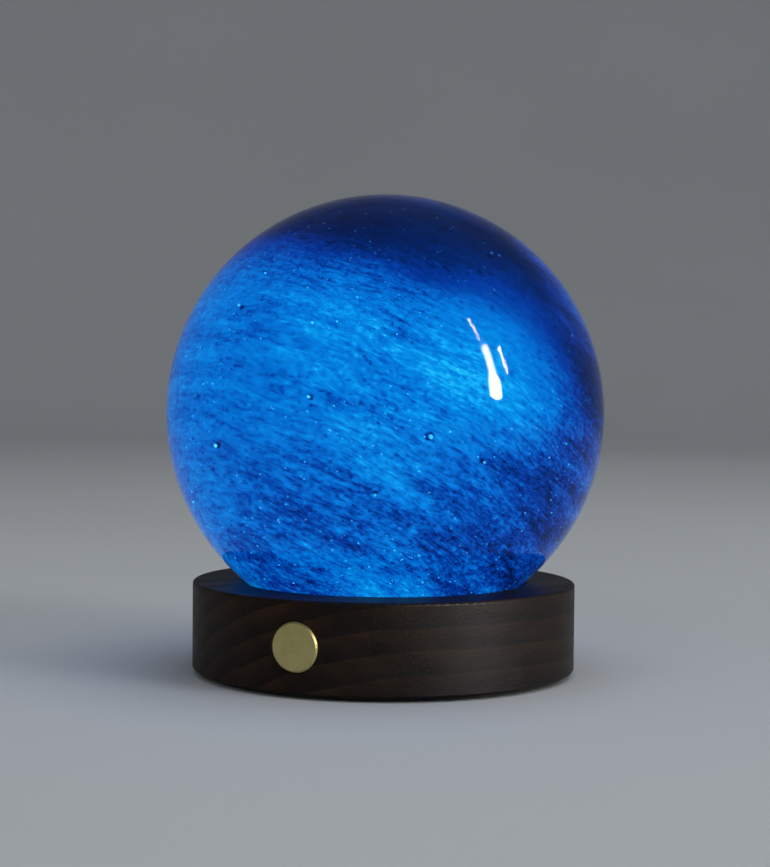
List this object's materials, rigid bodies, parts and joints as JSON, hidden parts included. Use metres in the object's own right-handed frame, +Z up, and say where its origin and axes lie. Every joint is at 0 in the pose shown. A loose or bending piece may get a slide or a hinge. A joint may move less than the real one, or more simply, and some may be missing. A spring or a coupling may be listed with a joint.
{
  "type": "glass ball night light",
  "caption": "Solid blue streaked glass ball resting in a round turned walnut base that lights it from below, with a flush brass push button and a charging socket.",
  "frame": {"origin": "centre of the foot ring's underside, on the table", "axes": "+Z up through the ball's centre; -Y the way the push button faces; +Y the way the charging socket faces"},
  "size_m": [0.1, 0.1, 0.1092],
  "materials": {
    "ball_glass": "polished solid blue art glass with streaks and seed bubbles",
    "clear_silicone": "translucent silicone",
    "walnut": "satin oiled dark walnut",
    "black_plastic": "fine matt texture",
    "screw_steel": "zinc plated",
    "foot_rubber": "matt",
    "brass": "satin brushed",
    "acetal": "natural",
    "switch_black": "moulded",
    "bracket_steel": "tinned",
    "board_mask": "white solder mask",
    "led_white": "moulded",
    "led_phosphor": "phosphor resin, lit",
    "chip_black": "moulded epoxy",
    "tin": "tinned copper",
    "ferrite": "sintered",
    "ceramic_tan": "fired ceramic",
    "resistor_black": "glazed",
    "indicator": "small charge lamp",
    "reflector_white": "white",
    "opal_acrylic": "opal, lit from below",
    "shell_steel": "drawn",
    "contact_gold": "gold plated",
    "foil": "embossed foil pouch",
    "guard_tape": "amber polyimide tape",
    "foam": "foam tape",
    "lead_red": "silicone insulation",
    "lead_black": "silicone insulation",
    "connector_ivory": "nylon"
  },
  "bodies": {
    "base": {"seat_ring": "clear_silicone", "wood_base": "walnut", "bottom_cover": "black_plastic", "cover_screws": "screw_steel", "foot_ring": "foot_rubber", "button_bush": "acetal", "switch_body": "switch_black", "switch_dome": "shell_steel", "switch_bracket": "bracket_steel", "circuit_board": "board_mask", "board_screws": "screw_steel", "led_packages": "led_white", "led_windows": "led_phosphor", "charge_chip": "chip_black", "control_chip": "chip_black", "chip_leads": "tin", "power_coil": "ferrite", "capacitors": "ceramic_tan", "resistors": "resistor_black", "charge_light": "indicator", "reflector": "reflector_white", "diffuser": "opal_acrylic", "socket_shell": "shell_steel", "socket_tongue": "switch_black", "socket_contacts": "contact_gold", "battery_cell": "foil", "battery_guard": "guard_tape", "battery_pad": "foam", "battery_lead_red": "lead_red", "battery_lead_black": "lead_black", "battery_plug": "connector_ivory", "battery_socket": "connector_ivory"},
    "ball": {"glass_ball": "ball_glass"},
    "button": {"button_cap": "brass", "button_retainer": "bracket_steel", "switch_plunger": "acetal"}
  },
  "joints": [
    {"name": "ball_lift", "type": "slide", "parent": "base", "child": "ball", "axis": [0, 0, 1], "range_m": [0, 0.02]},
    {"name": "button_press", "type": "slide", "parent": "base", "child": "button", "axis": [0, 1, 0], "range_m": [0, 0.0008], "stiffness_N_per_m": 1500, "springref_m": -0.0004}
  ]
}
